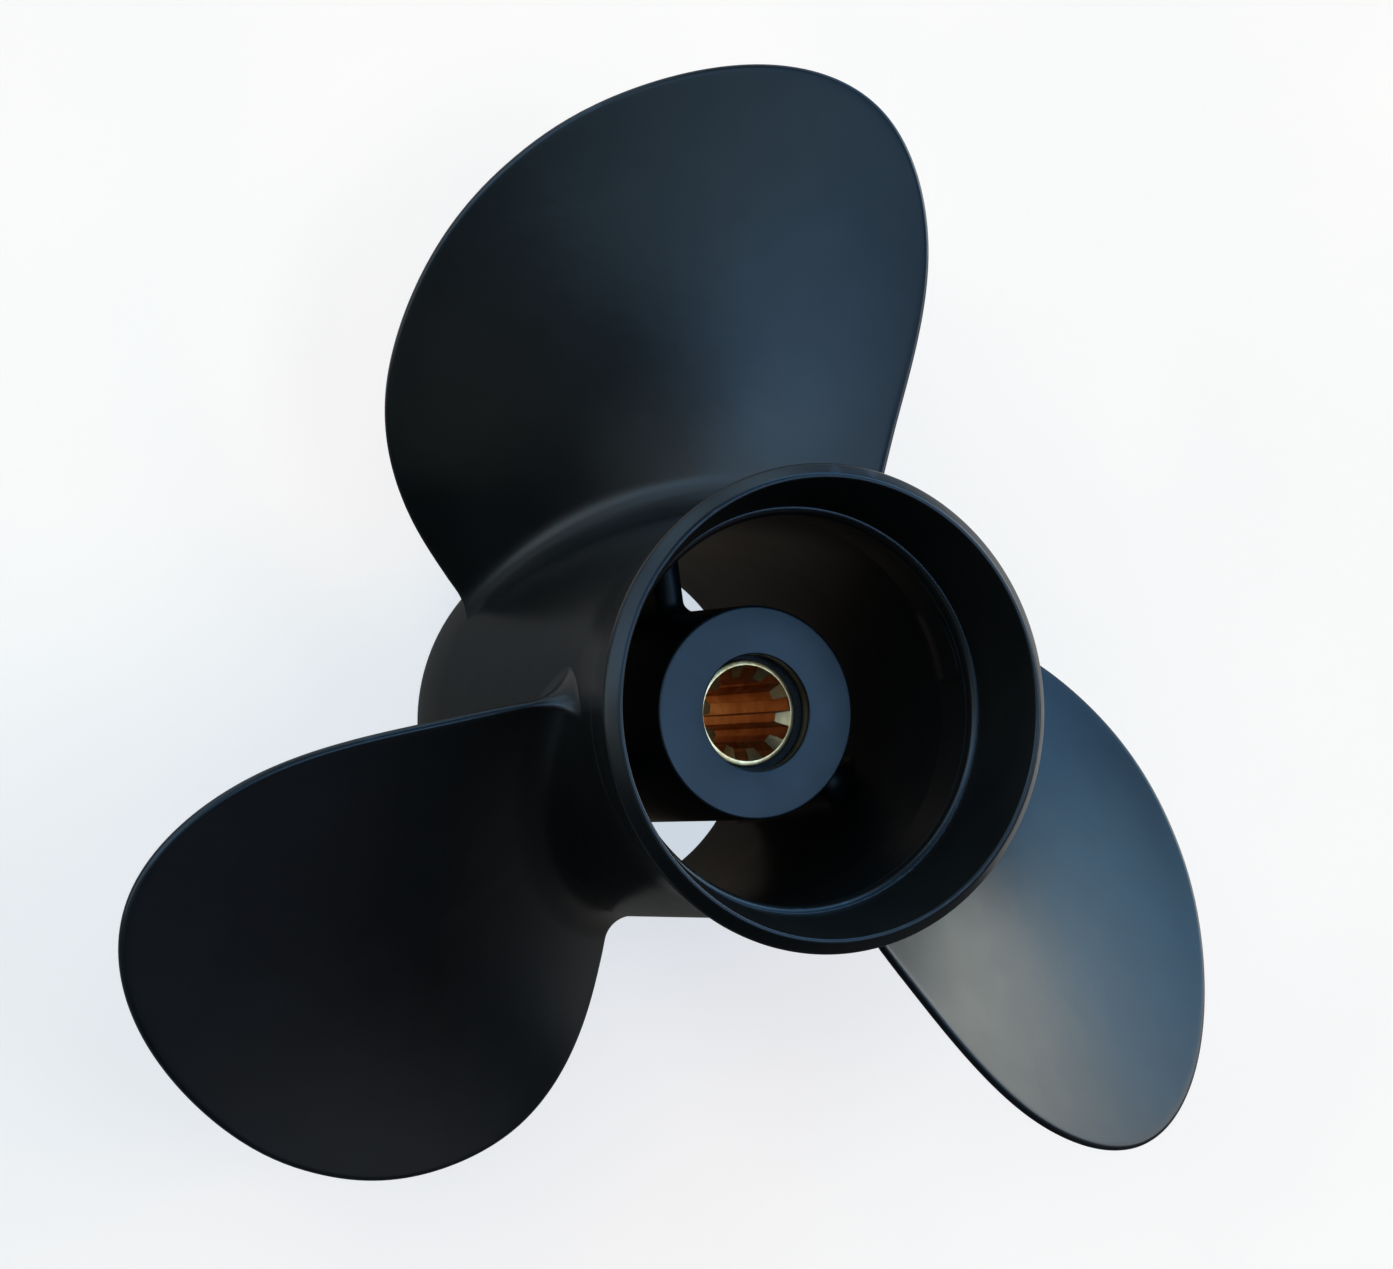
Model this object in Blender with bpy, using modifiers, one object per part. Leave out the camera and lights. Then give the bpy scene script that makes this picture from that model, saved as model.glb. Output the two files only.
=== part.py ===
"""Three-blade outboard propeller with a through-hub exhaust, drawn in metres.

The shaft axis is Z. The open exhaust end points up and the part stands on the
front end of its barrel, so the origin is on the axis in the front plane.
Blade 1 has its tip towards +Y; the others follow at 120 and 240 degrees.
The real part is one casting with a bush and a sleeve in it. Here the casting
is split by function, with a small gap between neighbours.
"""
import math

import bpy
import numpy as np
from mathutils import Matrix

MM = 0.001
FIT_GAP = 0.3 * MM               # clearance left between touching pieces

# Blade
BLADE_COUNT = 3
PITCH = 288.0 * MM               # advance of the helix per turn, left hand
RAKE = 0.062                     # aft lean, rise per unit of radius
BLADE_Z = 67.6 * MM              # height of the helix below the tip, at the root
ROOT_R = 40.6 * MM               # mean radius of the barrel along the root
TIP_R = 129.9 * MM
# Outline seen along the shaft, trailing edge root to leading edge root, as
# degrees round the shaft (the tip is at 90) and radius in millimetres
BLADE_OUTLINE = [
    (60.1, 39.6), (67.5, 64.5), (72.5, 98.3), (80.9, 124.1), (92.1, 129.8),
    (104.2, 124.5), (114.2, 116.7), (124.6, 105.2), (136.6, 87.1),
    (145.4, 65.0), (151.5, 41.4),
]
EDGE_THICKNESS = 1.9 * MM
FOOT_BULGE = 0.3                 # how round the foot's ends are, 1 is a half circle
ROOT_THICKNESS = 8.8 * MM
TIP_THICKNESS = 3.0 * MM
THICKNESS_FADE = 0.75            # how fast the blade thins from root to tip
SECTION_FULLNESS = 0.8           # how fast a section thickens from its edges
TIP_FADE = 6                     # how near the tip the blade thins to its edge
CAMBER = 0.014                   # hollow of the aft face over the chord
BACK_SHARE = 0.55                # part of the half thickness moved to the back
FILLET = 8.0 * MM                # blade to barrel, from the trailing edge on
FILLET_FRONT = 5.0 * MM          # the same at the leading edge
FILLET_FOOT = 0.1 * MM           # height at which the fillet is cut off
FILLET_ROWS = [h * MM for h in (0.0, 0.25, 0.8, 1.8, 3.2, 5.2, 8.0)]
TIP_SHARE = 0.135                # part of the outline's length in the top row,
                                 # on each side of the tip

# Barrel and flared exhaust ring
REAR_Z = 120.6 * MM
SPLIT_Z = 103.0 * MM             # barrel below, flared ring above
NOSE_LENGTH = 20.0 * MM          # rounded front end
NOSE_DROP = 3.0 * MM
NOSE_Z = 0.25 * MM               # where the round meets the front chamfer
BARREL_FRONT_R = 41.0 * MM       # at the end of the nose
BARREL_NECK_R = 39.3 * MM
NECK_Z = 90.0 * MM
FRONT_FACE_R = 38.4 * MM
BORE_R = 37.2 * MM
BORE_CHAMFER = 0.4 * MM
BORE_TAPER_Z = 92.0 * MM         # the bore narrows from here to the ledge
BORE_REAR_R = 36.5 * MM
LEDGE_Z = 105.8 * MM             # ledge inside the flared ring
LEDGE_ROUND = 1.4 * MM
FLARE_R = 45.0 * MM
FLARE_Z = 118.0 * MM             # height of the widest circle
FLARE_CURVE = 1.7                # how late the flare opens
RIDGE_R = 42.8 * MM              # flat top of the lip, outer edge
MOUTH_R = 42.0 * MM              # and inner edge
LIP_EDGE = 0.4 * MM
BELL_CURVE = 1.4                 # how late the inner wall opens
BELL_STEPS = 4

# Inner hub, bush and sleeve
HUB_REAR_Z = 86.6 * MM
HUB_FRONT_Z = 8.0 * MM
HUB_REAR_R = 20.6 * MM
HUB_FRONT_R = 21.6 * MM
HUB_BORE_R = 13.6 * MM
HUB_LIP_R = 11.2 * MM            # opening in the rear face
HUB_LIP_THICKNESS = 3.6 * MM
HUB_CHAMFER = 0.6 * MM
BUSH_CHAMFER = 0.8 * MM
BUSH_REAR_Z = 80.8 * MM
BUSH_FRONT_Z = 9.5 * MM
SLEEVE_R = 10.3 * MM
SLEEVE_REAR_Z = 82.2 * MM
SLEEVE_FRONT_Z = 6.0 * MM
SPLINE_ROOT_R = 9.2 * MM
SPLINE_TIP_R = 7.0 * MM
SPLINE_TEETH = 10
SPLINE_ANGLE = 107.8             # degrees, middle of one tooth
TOOTH_TIP = 0.19                 # half widths as shares of the tooth pitch
TOOTH_FOOT = 0.28

# Ribs between the inner hub and the barrel
RIB_THICKNESS = 6.0 * MM
RIB_REAR_Z = 54.8 * MM
RIB_FRONT_Z = 12.0 * MM
RIB_ANGLE = 103.8                # degrees, middle of rib 1
RIB_FILLET = 4.0 * MM
RIB_FILLET_CUT = 0.9             # share of the fillet kept at its foot

# Mesh density
BARREL_STEPS = 96
HUB_STEPS = 64
CHORD_STEPS = 14
SPAN_STEPS = 18
EDGE_STEPS = 5
RIB_COLUMNS = 7
RIB_STEPS = 8

PAINT = (0.035, 0.045, 0.06)
HUB_PAINT = (0.045, 0.06, 0.08)
RUBBER = (0.02, 0.02, 0.02)
BRASS = (0.55, 0.33, 0.14)


def clear_scene():
    for obj in list(bpy.data.objects):
        bpy.data.objects.remove(obj, do_unlink=True)


def new_collection(name):
    group = bpy.data.collections.new(name)
    bpy.context.scene.collection.children.link(group)
    return group


def new_material(name, colour, metallic, roughness):
    mat = bpy.data.materials.new(name)
    mat.use_nodes = True
    shader = mat.node_tree.nodes["Principled BSDF"]
    shader.inputs["Base Color"].default_value = (*colour, 1.0)
    shader.inputs["Metallic"].default_value = metallic
    shader.inputs["Roughness"].default_value = roughness
    mat.diffuse_color = (*colour, 1.0)
    return mat


def new_object(name, data, group, mat):
    data.materials.append(mat)
    obj = bpy.data.objects.new(name, data)
    group.objects.link(obj)
    return obj


def new_solid(name, verts, faces, group, mat):
    """Object from computed points, shaded smooth."""
    mesh = bpy.data.meshes.new(name)
    mesh.from_pydata([tuple(v) for v in verts], [], faces)
    mesh.shade_smooth()
    return new_object(name, mesh, group, mat)


def turned(name, profile, steps, group, mat):
    """Closed (radius, height) profile turned round the shaft."""
    mesh = bpy.data.meshes.new(name)
    count = len(profile)
    mesh.from_pydata([(r, 0.0, z) for r, z in profile],
                     [(i, (i + 1) % count) for i in range(count)], [])
    obj = new_object(name, mesh, group, mat)
    screw = obj.modifiers.new("turn", "SCREW")
    screw.axis = "Z"
    screw.angle = 2 * math.pi
    screw.steps = steps
    screw.render_steps = steps
    screw.use_merge_vertices = True
    screw.merge_threshold = 0.01 * MM
    screw.use_smooth_shade = True
    return obj


def barrel_radius(z):
    """Outside radius of the barrel and of the flared ring above it."""
    straight = np.interp(z, [NOSE_LENGTH, NECK_Z],
                         [BARREL_FRONT_R, BARREL_NECK_R])
    rise = np.clip((np.asarray(z) - NECK_Z) / (FLARE_Z - NECK_Z), 0.0, 1.0)
    down = np.clip(1.0 - np.asarray(z) / NOSE_LENGTH, 0.0, 1.0)
    nose = NOSE_DROP * (1.0 - np.sqrt(1.0 - down ** 2))
    return straight + (FLARE_R - BARREL_NECK_R) * rise ** FLARE_CURVE - nose


def outer_wall(heights):
    return [(float(barrel_radius(z)), float(z)) for z in heights]


def bore_radius(z):
    return float(np.interp(z, [BORE_TAPER_Z, LEDGE_Z - LEDGE_ROUND],
                           [BORE_R, BORE_REAR_R]))


def barrel_profile():
    top = SPLIT_Z - 0.5 * FIT_GAP
    neck = np.linspace(top, NECK_Z, 4)
    nose = NOSE_LENGTH * (1.0 - np.sin(np.radians([0, 22, 40, 55, 67, 75])))
    outer = outer_wall(neck) + outer_wall(nose) + outer_wall([NOSE_Z])
    front = [(FRONT_FACE_R, 0.0), (BORE_R + BORE_CHAMFER, 0.0)]
    inner = [(BORE_R, BORE_CHAMFER), (BORE_R, BORE_TAPER_Z),
             (bore_radius(top), top)]
    return outer + front + inner


def flare_profile():
    """Bevelled lip, outer wall, bore, round ledge and bell-shaped inner wall."""
    bottom = SPLIT_Z + 0.5 * FIT_GAP
    bevel = FLARE_R - RIDGE_R
    lip = [(MOUTH_R, REAR_Z - LIP_EDGE), (MOUTH_R + LIP_EDGE, REAR_Z),
           (RIDGE_R, REAR_Z), (FLARE_R - 0.2 * bevel, REAR_Z - 0.8 * bevel)]
    outer = outer_wall(np.linspace(FLARE_Z, bottom, 7))
    ledge = [(bore_radius(bottom), bottom)]
    for a in np.radians([0, 30, 60, 90]):
        ledge.append((BORE_REAR_R + LEDGE_ROUND * (1.0 - math.cos(a)),
                      LEDGE_Z - LEDGE_ROUND * (1.0 - math.sin(a))))
    foot_r, foot_z = ledge[-1]
    bell = []
    for k in range(1, BELL_STEPS):
        s = k / BELL_STEPS
        bell.append((foot_r + (MOUTH_R - foot_r) * s ** BELL_CURVE,
                     foot_z + (REAR_Z - LIP_EDGE - foot_z) * s))
    return lip + outer + ledge + bell


def hub_radius(z):
    """Outside radius of the tapered inner hub."""
    return float(np.interp(z, [HUB_FRONT_Z, HUB_REAR_Z],
                           [HUB_FRONT_R, HUB_REAR_R]))


def hub_profile():
    """Tube with an inward lip behind the rubber bush."""
    edge = HUB_CHAMFER
    lip_z = HUB_REAR_Z - HUB_LIP_THICKNESS
    outer = [(HUB_REAR_R - edge, HUB_REAR_Z),
             (hub_radius(HUB_REAR_Z - edge), HUB_REAR_Z - edge),
             (hub_radius(HUB_FRONT_Z + edge), HUB_FRONT_Z + edge),
             (HUB_FRONT_R - edge, HUB_FRONT_Z)]
    inner = [(HUB_BORE_R, HUB_FRONT_Z), (HUB_BORE_R, lip_z),
             (HUB_LIP_R, lip_z), (HUB_LIP_R, HUB_REAR_Z - 0.5 * edge),
             (HUB_LIP_R + 0.5 * edge, HUB_REAR_Z)]
    return outer + inner


def bush_profile():
    outer_r = HUB_BORE_R - FIT_GAP
    inner_r = SLEEVE_R + FIT_GAP
    edge = BUSH_CHAMFER
    return [(outer_r - edge, BUSH_REAR_Z), (outer_r, BUSH_REAR_Z - edge),
            (outer_r, BUSH_FRONT_Z + edge), (outer_r - edge, BUSH_FRONT_Z),
            (inner_r, BUSH_FRONT_Z), (inner_r, BUSH_REAR_Z)]


def add_ring(curve, points):
    ring = curve.splines.new("POLY")
    ring.points.add(len(points) - 1)
    for point, (x, y) in zip(ring.points, points):
        point.co = (x, y, 0.0, 1.0)
    ring.use_cyclic_u = True


def polar(radius, angle):
    return radius * math.cos(angle), radius * math.sin(angle)


def build_sleeve(name, group, mat):
    """Tube with straight teeth in its bore: a flat outline, extruded."""
    curve = bpy.data.curves.new(name, "CURVE")
    curve.dimensions = "2D"
    curve.fill_mode = "BOTH"
    curve.extrude = 0.5 * (SLEEVE_REAR_Z - SLEEVE_FRONT_Z)
    add_ring(curve, [polar(SLEEVE_R, 2 * math.pi * i / HUB_STEPS)
                     for i in range(HUB_STEPS)])
    tooth = [(-TOOTH_FOOT, SPLINE_ROOT_R), (-TOOTH_TIP, SPLINE_TIP_R),
             (0.0, SPLINE_TIP_R), (TOOTH_TIP, SPLINE_TIP_R),
             (TOOTH_FOOT, SPLINE_ROOT_R), (0.5, SPLINE_ROOT_R)]
    start = math.radians(SPLINE_ANGLE)
    pitch = 2 * math.pi / SPLINE_TEETH
    add_ring(curve, [polar(r, start + (k + part) * pitch)
                     for k in range(SPLINE_TEETH) for part, r in tooth])
    obj = new_object(name, curve, group, mat)
    obj.location.z = 0.5 * (SLEEVE_REAR_Z + SLEEVE_FRONT_Z)
    return obj


def natural_spline(points, count):
    """Smooth curve through the points, even in the point number."""
    p = np.asarray(points, float)
    n = len(p)
    matrix = np.eye(n)
    right = np.zeros_like(p)
    for i in range(1, n - 1):
        matrix[i, i - 1:i + 2] = (1.0, 4.0, 1.0)
        right[i] = 6.0 * (p[i - 1] - 2.0 * p[i] + p[i + 1])
    bend = np.linalg.solve(matrix, right)
    t = np.linspace(0.0, n - 1.0, count)
    i = np.minimum(t.astype(int), n - 2)
    f = (t - i)[:, None]
    g = 1.0 - f
    return ((bend[i] * g ** 3 + bend[i + 1] * f ** 3) / 6.0
            + (p[i] - bend[i] / 6.0) * g + (p[i + 1] - bend[i + 1] / 6.0) * f)


def unit(vectors):
    return vectors / np.linalg.norm(vectors, axis=-1, keepdims=True)


def edge_line():
    """Centre line of the blade's round edge: angle, radius, run length."""
    angle = np.radians([a for a, r in BLADE_OUTLINE])
    radius = np.array([r for a, r in BLADE_OUTLINE]) * MM
    plan = np.c_[radius * np.cos(angle), radius * np.sin(angle)]
    curve = natural_spline(plan, 1201)
    along = unit(np.gradient(curve, axis=0))
    inward = np.c_[-along[:, 1], along[:, 0]]
    curve = curve + inward * 0.5 * EDGE_THICKNESS
    run = np.r_[0.0, np.cumsum(np.linalg.norm(np.diff(curve, axis=0), axis=1))]
    return np.arctan2(curve[:, 1], curve[:, 0]), np.hypot(*curve.T), run


def chord_shares():
    """Places across a section, closer together near both edges."""
    wave = np.cos(np.linspace(0.09, 0.91, CHORD_STEPS + 1) * math.pi)
    return (wave[0] - wave) / (wave[0] - wave[-1])


def blade_plan():
    """Grid of (angle, radius): rows from barrel to tip, trailing edge first."""
    angle, radius, run = edge_line()
    tip = int(radius.argmax())
    first = int(np.searchsorted(run, run[tip] - TIP_SHARE * run[-1]))
    last = int(np.searchsorted(run, run[tip] + TIP_SHARE * run[-1]))
    share = chord_shares()
    ends = np.array([[angle[first], radius[first]],
                     [angle[last], radius[last]]])
    along = run[first] + share * (run[last] - run[first])
    over_tip = np.c_[np.interp(along, run, angle), np.interp(along, run, radius)]
    bulge = over_tip - (ends[0] + np.outer(share, ends[1] - ends[0]))
    spans = [0.0] * len(FILLET_ROWS)
    spans += [(j + 1) / SPAN_STEPS for j in range(SPAN_STEPS)]
    rows = []
    for j, span in enumerate(spans):
        foot = ROOT_R + FILLET_ROWS[min(j, len(FILLET_ROWS) - 1)]
        r = foot + (ends[:, 1] - foot) * span
        a = [np.interp(r[0], radius[:tip + 1], angle[:tip + 1]),
             np.interp(r[1], radius[tip:][::-1], angle[tip:][::-1])]
        straight = np.array([a[0], r[0]]) + np.outer(
            share, [a[1] - a[0], r[1] - r[0]])
        rows.append(straight + bulge * span ** 2.5)
    return np.array(rows)


def blade_middle(plan):
    """Middle surface of the blade with its aft normals and half thickness."""
    lead = PITCH / (2.0 * math.pi)
    angle, radius = plan[..., 0], plan[..., 1]
    outward = np.stack([np.cos(angle), np.sin(angle), 0 * angle], -1)
    around = np.stack([-np.sin(angle), np.cos(angle), 0 * angle], -1)
    height = (BLADE_Z + RAKE * (radius - ROOT_R)
              - lead * (angle - 0.5 * math.pi))
    up = np.array([0.0, 0.0, 1.0])
    middle = outward * radius[..., None] + height[..., None] * up
    normal = unit(up - RAKE * outward + (lead / radius)[..., None] * around)
    share = chord_shares()
    span = np.clip((radius.mean(axis=1) - ROOT_R) / (TIP_R - ROOT_R), 0, 1)
    span = span[:, None]
    # no more than the edge's thickness anywhere on the border
    bulge = 4.0 * share * (1.0 - share) * (1.0 - (span / span[-1]) ** TIP_FADE)
    thick = (ROOT_THICKNESS
             + (TIP_THICKNESS - ROOT_THICKNESS) * span ** THICKNESS_FADE)
    half = 0.5 * (EDGE_THICKNESS
                  + (thick - EDGE_THICKNESS) * bulge ** SECTION_FULLNESS)
    chord = np.linalg.norm(middle[:, -1] - middle[:, 0], axis=-1)[:, None]
    drop = BACK_SHARE * (half - 0.5 * EDGE_THICKNESS) + CAMBER * chord * bulge
    return middle - normal * drop[..., None], normal, half


def fillet_reach(rows):
    """Extra half thickness of the lowest rows, a quarter round."""
    share = chord_shares()
    size = FILLET + (FILLET_FRONT - FILLET) * share ** 3
    reach = np.zeros((rows, len(share)))
    for j, height in enumerate(FILLET_ROWS):
        left = size - np.minimum(height + FILLET_FOOT, size)
        reach[j] = size - np.sqrt(size ** 2 - left ** 2)
    return reach


def seat(points, height, share):
    """Move points out or in to a height above the barrel, wholly or in part."""
    radius = np.hypot(points[..., 0], points[..., 1])
    wanted = barrel_radius(points[..., 2]) + FIT_GAP + height
    scale = 1.0 + share * (wanted / radius - 1.0)
    return points * np.stack([scale, scale, np.ones_like(scale)], -1)


def blade_rings():
    """Rings of points from aft face round the edge to fore face.

    There is one ring for each place on the border of the middle surface and,
    for the foot, one for each place across the root.
    """
    plan = blade_plan()
    middle, normal, half = blade_middle(plan)
    rows, columns = half.shape
    reach = fillet_reach(rows)
    half = half + reach
    aft = middle + normal * half[..., None]
    fore = middle - normal * half[..., None]
    border = ([(j, 0) for j in range(rows)]
              + [(rows - 1, i) for i in range(1, columns - 1)]
              + [(j, columns - 1) for j in reversed(range(rows))])
    line = np.array([middle[c] for c in border])
    line_normal = np.array([normal[c] for c in border])
    side = unit(np.cross(unit(np.gradient(line, axis=0)), line_normal))
    turn = math.pi * np.arange(1, EDGE_STEPS + 1) / (EDGE_STEPS + 1)
    size = np.array([half[c] for c in border])[:, None, None]
    bulge = size - (1.0 - FOOT_BULGE) * np.array(
        [reach[c] for c in border])[:, None, None]
    edge = (line[:, None]
            + size * np.cos(turn)[None, :, None] * line_normal[:, None]
            + bulge * np.sin(turn)[None, :, None] * side[:, None])
    return plan, aft, fore, edge, border


def seat_blade(plan, aft, fore, edge, border):
    """Lay the root rows on the barrel and let the rows above follow."""
    last = len(FILLET_ROWS) - 1
    centre = plan[:, plan.shape[1] // 2, 1]
    for j in range(len(plan)):
        height = FILLET_ROWS[j] if j <= last else centre[j] - ROOT_R
        share = max(0.0, 1.0 - max(0, j - last) / 4.0) ** 2
        aft[j] = seat(aft[j], height, share)
        fore[j] = seat(fore[j], height, share)
        for i, c in enumerate(border):
            if c[0] == j and share > 0.0:
                edge[i] = seat(edge[i], height, share)
    fade = (np.arange(1, EDGE_STEPS + 1) / (EDGE_STEPS + 1))[None, :, None]
    return seat(aft[0][:, None] * (1.0 - fade) + fore[0][:, None] * fade,
                FILLET_ROWS[0], 1.0)


def build_blade(name, turn, group, mat):
    """Loft of the blade's sections with a round edge and a filleted foot."""
    plan, aft, fore, edge, border = blade_rings()
    foot = seat_blade(plan, aft, fore, edge, border)
    rows, columns = plan.shape[:2]
    blocks = [aft.reshape(-1, 3), fore.reshape(-1, 3), edge.reshape(-1, 3),
              foot.reshape(-1, 3)]
    starts = np.cumsum([0] + [len(block) for block in blocks])

    def on_aft(j, i):
        return int(starts[0] + j * columns + i)

    def on_fore(j, i):
        return int(starts[1] + j * columns + i)

    def ring(block, number, j, i):
        first = int(starts[block] + number * EDGE_STEPS)
        return [on_aft(j, i), *range(first, first + EDGE_STEPS), on_fore(j, i)]

    rings = [ring(2, n, j, i) for n, (j, i) in enumerate(border)]
    feet = [ring(3, i, 0, i) for i in reversed(range(columns))]
    faces = []
    for j in range(rows - 1):
        for i in range(columns - 1):
            faces.append([on_aft(j, i), on_aft(j + 1, i),
                          on_aft(j + 1, i + 1), on_aft(j, i + 1)])
            faces.append([on_fore(j, i), on_fore(j, i + 1),
                          on_fore(j + 1, i + 1), on_fore(j + 1, i)])
    around = rings + feet
    for one, two in zip(around, around[1:] + around[:1]):
        for k in range(EDGE_STEPS + 1):
            quad = [one[k], one[k + 1], two[k + 1], two[k]]
            faces.append(list(dict.fromkeys(quad)))
    obj = new_solid(name, np.vstack(blocks), faces, group, mat)
    obj.rotation_euler.z = turn
    return obj


def rib_ring(share):
    """Section of a rib at a share of the way out, as (y, z) points."""
    length = BORE_R - HUB_FRONT_R - 2 * FIT_GAP
    depth = max(0.0, RIB_FILLET - min(share, 1.0 - share) * length)
    spread = RIB_FILLET - math.sqrt(
        RIB_FILLET ** 2 - (RIB_FILLET_CUT * depth) ** 2)
    half = 0.5 * RIB_THICKNESS
    top = []
    for i in range(RIB_COLUMNS):
        a = math.pi * i / (RIB_COLUMNS - 1)
        top.append((math.cos(a) * (half + spread),
                    RIB_REAR_Z - half + half * math.sin(a) + spread))
    return top + [(y, RIB_FRONT_Z) for y, z in reversed(top)]


def build_rib(name, turn, group, mat):
    """Web with a rounded aft edge and a fillet at each end."""
    verts = []
    for row in range(RIB_STEPS + 1):
        share = 0.5 - 0.5 * math.cos(math.pi * row / RIB_STEPS)
        for y, z in rib_ring(share):
            inside = math.sqrt((hub_radius(z) + FIT_GAP) ** 2 - y ** 2)
            outside = math.sqrt((BORE_R - FIT_GAP) ** 2 - y ** 2)
            verts.append((inside + (outside - inside) * share, y, z))
    count = 2 * RIB_COLUMNS
    faces = []
    for row in range(RIB_STEPS):
        for i in range(count):
            a = row * count + i
            b = row * count + (i + 1) % count
            faces.append([a, b, b + count, a + count])
    last = RIB_STEPS * count
    for i in range(RIB_COLUMNS - 1):
        cap = [i, i + 1, count - 2 - i, count - 1 - i]
        faces.append(cap[::-1])
        faces.append([last + v for v in cap])
    obj = new_solid(name, verts, faces, group, mat)
    obj.rotation_euler.z = turn
    return obj


def main():
    clear_scene()
    group = new_collection("outboard_propeller")
    turned("barrel", barrel_profile(), BARREL_STEPS, group,
           new_material("barrel_paint", PAINT, 0.0, 0.35))
    turned("flare_ring", flare_profile(), BARREL_STEPS, group,
           new_material("flare_ring_paint", PAINT, 0.0, 0.32))
    turned("inner_hub", hub_profile(), HUB_STEPS, group,
           new_material("inner_hub_paint", HUB_PAINT, 0.0, 0.32))
    turned("rubber_bush", bush_profile(), HUB_STEPS, group,
           new_material("bush_rubber", RUBBER, 0.0, 0.8))
    build_sleeve("splined_sleeve", group,
                 new_material("sleeve_brass", BRASS, 1.0, 0.35))
    for k in range(BLADE_COUNT):
        angle = 2 * math.pi * k / BLADE_COUNT
        blade = "blade_%d" % (k + 1)
        build_blade(blade, angle, group,
                    new_material(blade + "_paint", PAINT, 0.0, 0.33))
        rib = "rib_%d" % (k + 1)
        build_rib(rib, angle + math.radians(RIB_ANGLE), group,
                  new_material(rib + "_paint", PAINT, 0.0, 0.4))


main()
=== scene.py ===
"""Looks of the outboard propeller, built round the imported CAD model.

Metres, in the model's own frame: +Z runs aft along the shaft and the part
stands on the front end of its barrel. Every visible surface is made again
here with rounded corners and full fillets, in the place of its CAD node.
"""

import math

import bpy
import numpy as np
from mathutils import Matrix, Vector


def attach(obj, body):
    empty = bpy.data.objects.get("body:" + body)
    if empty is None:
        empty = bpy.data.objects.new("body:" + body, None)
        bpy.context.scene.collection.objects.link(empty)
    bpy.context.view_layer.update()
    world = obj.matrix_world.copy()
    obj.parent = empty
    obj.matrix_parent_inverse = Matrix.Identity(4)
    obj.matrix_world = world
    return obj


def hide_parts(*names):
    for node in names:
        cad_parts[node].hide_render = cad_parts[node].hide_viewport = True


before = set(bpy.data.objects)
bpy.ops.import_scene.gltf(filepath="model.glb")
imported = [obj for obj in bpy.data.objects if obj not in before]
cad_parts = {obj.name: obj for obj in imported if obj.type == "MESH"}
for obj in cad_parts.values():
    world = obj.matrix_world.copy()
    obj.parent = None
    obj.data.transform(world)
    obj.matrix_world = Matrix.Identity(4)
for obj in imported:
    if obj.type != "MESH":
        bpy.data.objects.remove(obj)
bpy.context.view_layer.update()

MM = 0.001
ROUND_LIMIT = 0.49               # a rounding's most, of the sides beside its corner

# Blade, as in the model's source
BLADE_COUNT = 3
PITCH = 288.0 * MM
RAKE = 0.062                     # aft, for each metre out
BLADE_Z = 67.6 * MM
ROOT_R = 40.6 * MM
TIP_R = 129.9 * MM
# Degrees round the shaft and radius in mm, from the trailing edge's foot over
# the tip to the leading edge's foot
BLADE_OUTLINE = [
    (60.1, 39.6), (67.5, 64.5), (72.5, 98.3), (80.9, 124.1), (92.1, 129.8),
    (104.2, 124.5), (114.2, 116.7), (124.6, 105.2), (136.6, 87.1),
    (145.4, 65.0), (151.5, 41.4),
]
EDGE_THICKNESS = 1.9 * MM
ROOT_THICKNESS = 8.8 * MM
TIP_THICKNESS = 3.0 * MM
THICKNESS_FADE = 0.75            # power of the span, from root to tip
SECTION_FULLNESS = 0.8           # power of the section's parabola
TIP_FADE = 6                     # power of the span, thins the last sections
CAMBER = 0.014                   # of the chord
BACK_SHARE = 0.55                # of the fullness, by which the middle lies forward
FILLET = 8.0 * MM
FILLET_FRONT = 5.0 * MM
FILLET_SINK = 0.04 * MM          # the foot starts this far inside the barrel
FOOT_BULGE = 0.3                 # of the fillet, past the blade's two ends
TIP_SHARE = 0.135                # of the edge line, each way from the tip
TIP_BULGE_FADE = 2.5             # power of the span
CURVE_POINTS = 4001
CHORD_STEPS = 72
CHORD_WAVE = (0.09, 0.91)        # part of a half wave, in shares of it
SPAN_STEPS = 80
FILLET_ROWS = 22
FOLLOW_ROWS = 16                 # rows over the fillet that ease off the barrel
EDGE_STEPS = 9

# Barrel and flared ring
REAR_Z = 120.6 * MM
SPLIT_Z = 103.0 * MM
NOSE_LENGTH = 20.0 * MM
NOSE_DROP = 3.0 * MM
NOSE_TURN = (2.0, 80.0)          # degrees of the nose's quarter round
BARREL_FRONT_R = 41.0 * MM
BARREL_NECK_R = 39.3 * MM
NECK_Z = 90.0 * MM
FRONT_FACE_R = 38.4 * MM
FRONT_FACE_ROUND = 0.25 * MM
BORE_R = 37.2 * MM
BORE_FRONT_ROUND = 0.5 * MM
BORE_FRONT_Z = (5.0 * MM, 8.0 * MM)      # first two rows of the plain bore
BORE_FINE_Z = (84.0 * MM, 84.25 * MM)    # rows are close together from here
BORE_TAPER_Z = 92.0 * MM
BORE_REAR_R = 36.5 * MM
LEDGE_Z = 105.8 * MM
LEDGE_ROUND = 1.4 * MM
FLARE_R = 45.0 * MM
FLARE_Z = 118.0 * MM
FLARE_CURVE = 1.7
RIDGE_R = 42.8 * MM
RIDGE_ROUND = 0.7 * MM
LIP_ROUND = 1.2 * MM
LIP_OUT = 0.05 * MM              # the lip's corner stands out by this
MOUTH_R = 42.0 * MM
MOUTH_ROUND = 0.35 * MM
BELL_CURVE = 1.4
BELL_SPAN = (0.02, 0.96)         # shares of the way from the ledge to the rear
BARREL_STEPS = 480
FLARE_STEPS = 360

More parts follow.
